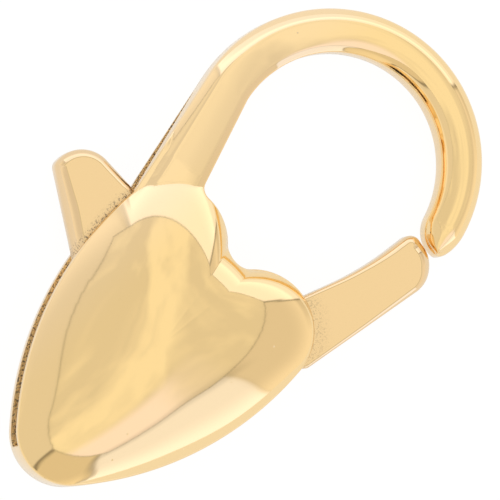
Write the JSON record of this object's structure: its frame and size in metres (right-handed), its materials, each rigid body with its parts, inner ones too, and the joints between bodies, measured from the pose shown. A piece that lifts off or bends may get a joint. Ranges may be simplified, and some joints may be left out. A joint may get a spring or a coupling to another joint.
{
  "type": "heart-shaped lobster clasp",
  "caption": "Polished yellow-gold lobster clasp: a puffed heart case, a round hook in one with it, and a sprung lever with a gate arm and a thumb tab.",
  "frame": {"origin": "the lever's pivot axis at the flat back face of the case", "axes": "+X along the clasp from the heart's tail to the hook, +Y towards the thumb tab, +Z out of the domed front"},
  "size_m": [0.0234, 0.0139, 0.004],
  "materials": {
    "gold_case": "polished",
    "gold_lever": "polished",
    "gold_pin": "polished"
  },
  "bodies": {
    "case": {"body": "gold_case", "pivot_pin": "gold_pin"},
    "lever": {"lever": "gold_lever"}
  },
  "joints": [
    {"name": "lever_hinge", "type": "hinge", "parent": "case", "child": "lever", "pos_m": [0, 0, 0.00125], "axis": [0, 0, 1], "range_deg": [0, 24], "stiffness_Nm_per_rad": 0.008, "springref_deg": -28.65}
  ]
}
